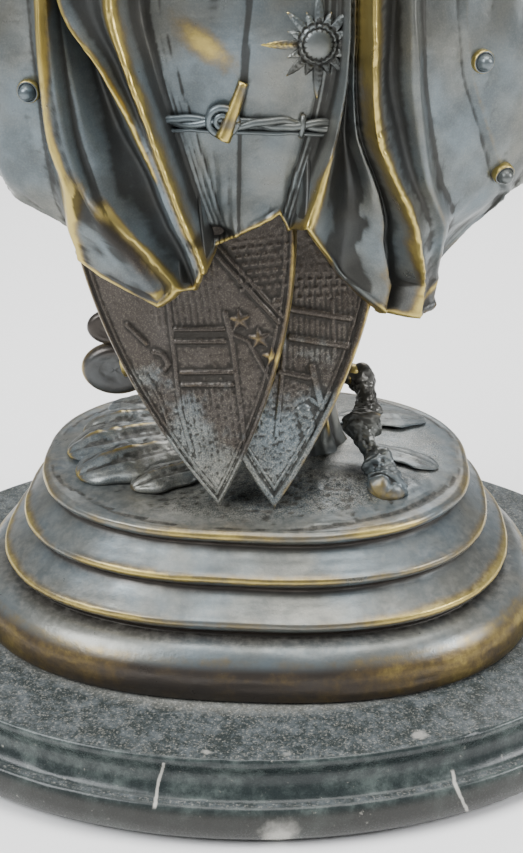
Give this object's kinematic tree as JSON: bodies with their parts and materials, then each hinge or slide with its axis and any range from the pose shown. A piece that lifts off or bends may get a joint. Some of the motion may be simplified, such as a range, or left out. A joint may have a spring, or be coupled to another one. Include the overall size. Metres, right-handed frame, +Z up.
{
  "type": "bust",
  "caption": "Patinated bronze bust of an emperor in an open greatcoat, cast with a stepped oval foot and twin shields, on an oval black marble base.",
  "frame": {"origin": "centre of the marble base's underside", "axes": "+Z up, the figure faces -Y, +X towards the right of a viewer who faces it"},
  "size_m": [0.2526, 0.2042, 0.3582],
  "materials": {
    "marble": "polished black marble with pale veins",
    "bronze": "blue-grey patina, worn to olive gold on the edges"
  },
  "bodies": {
    "root": {"marble_base": "marble", "bronze_bust": "bronze"}
  },
  "joints": []
}
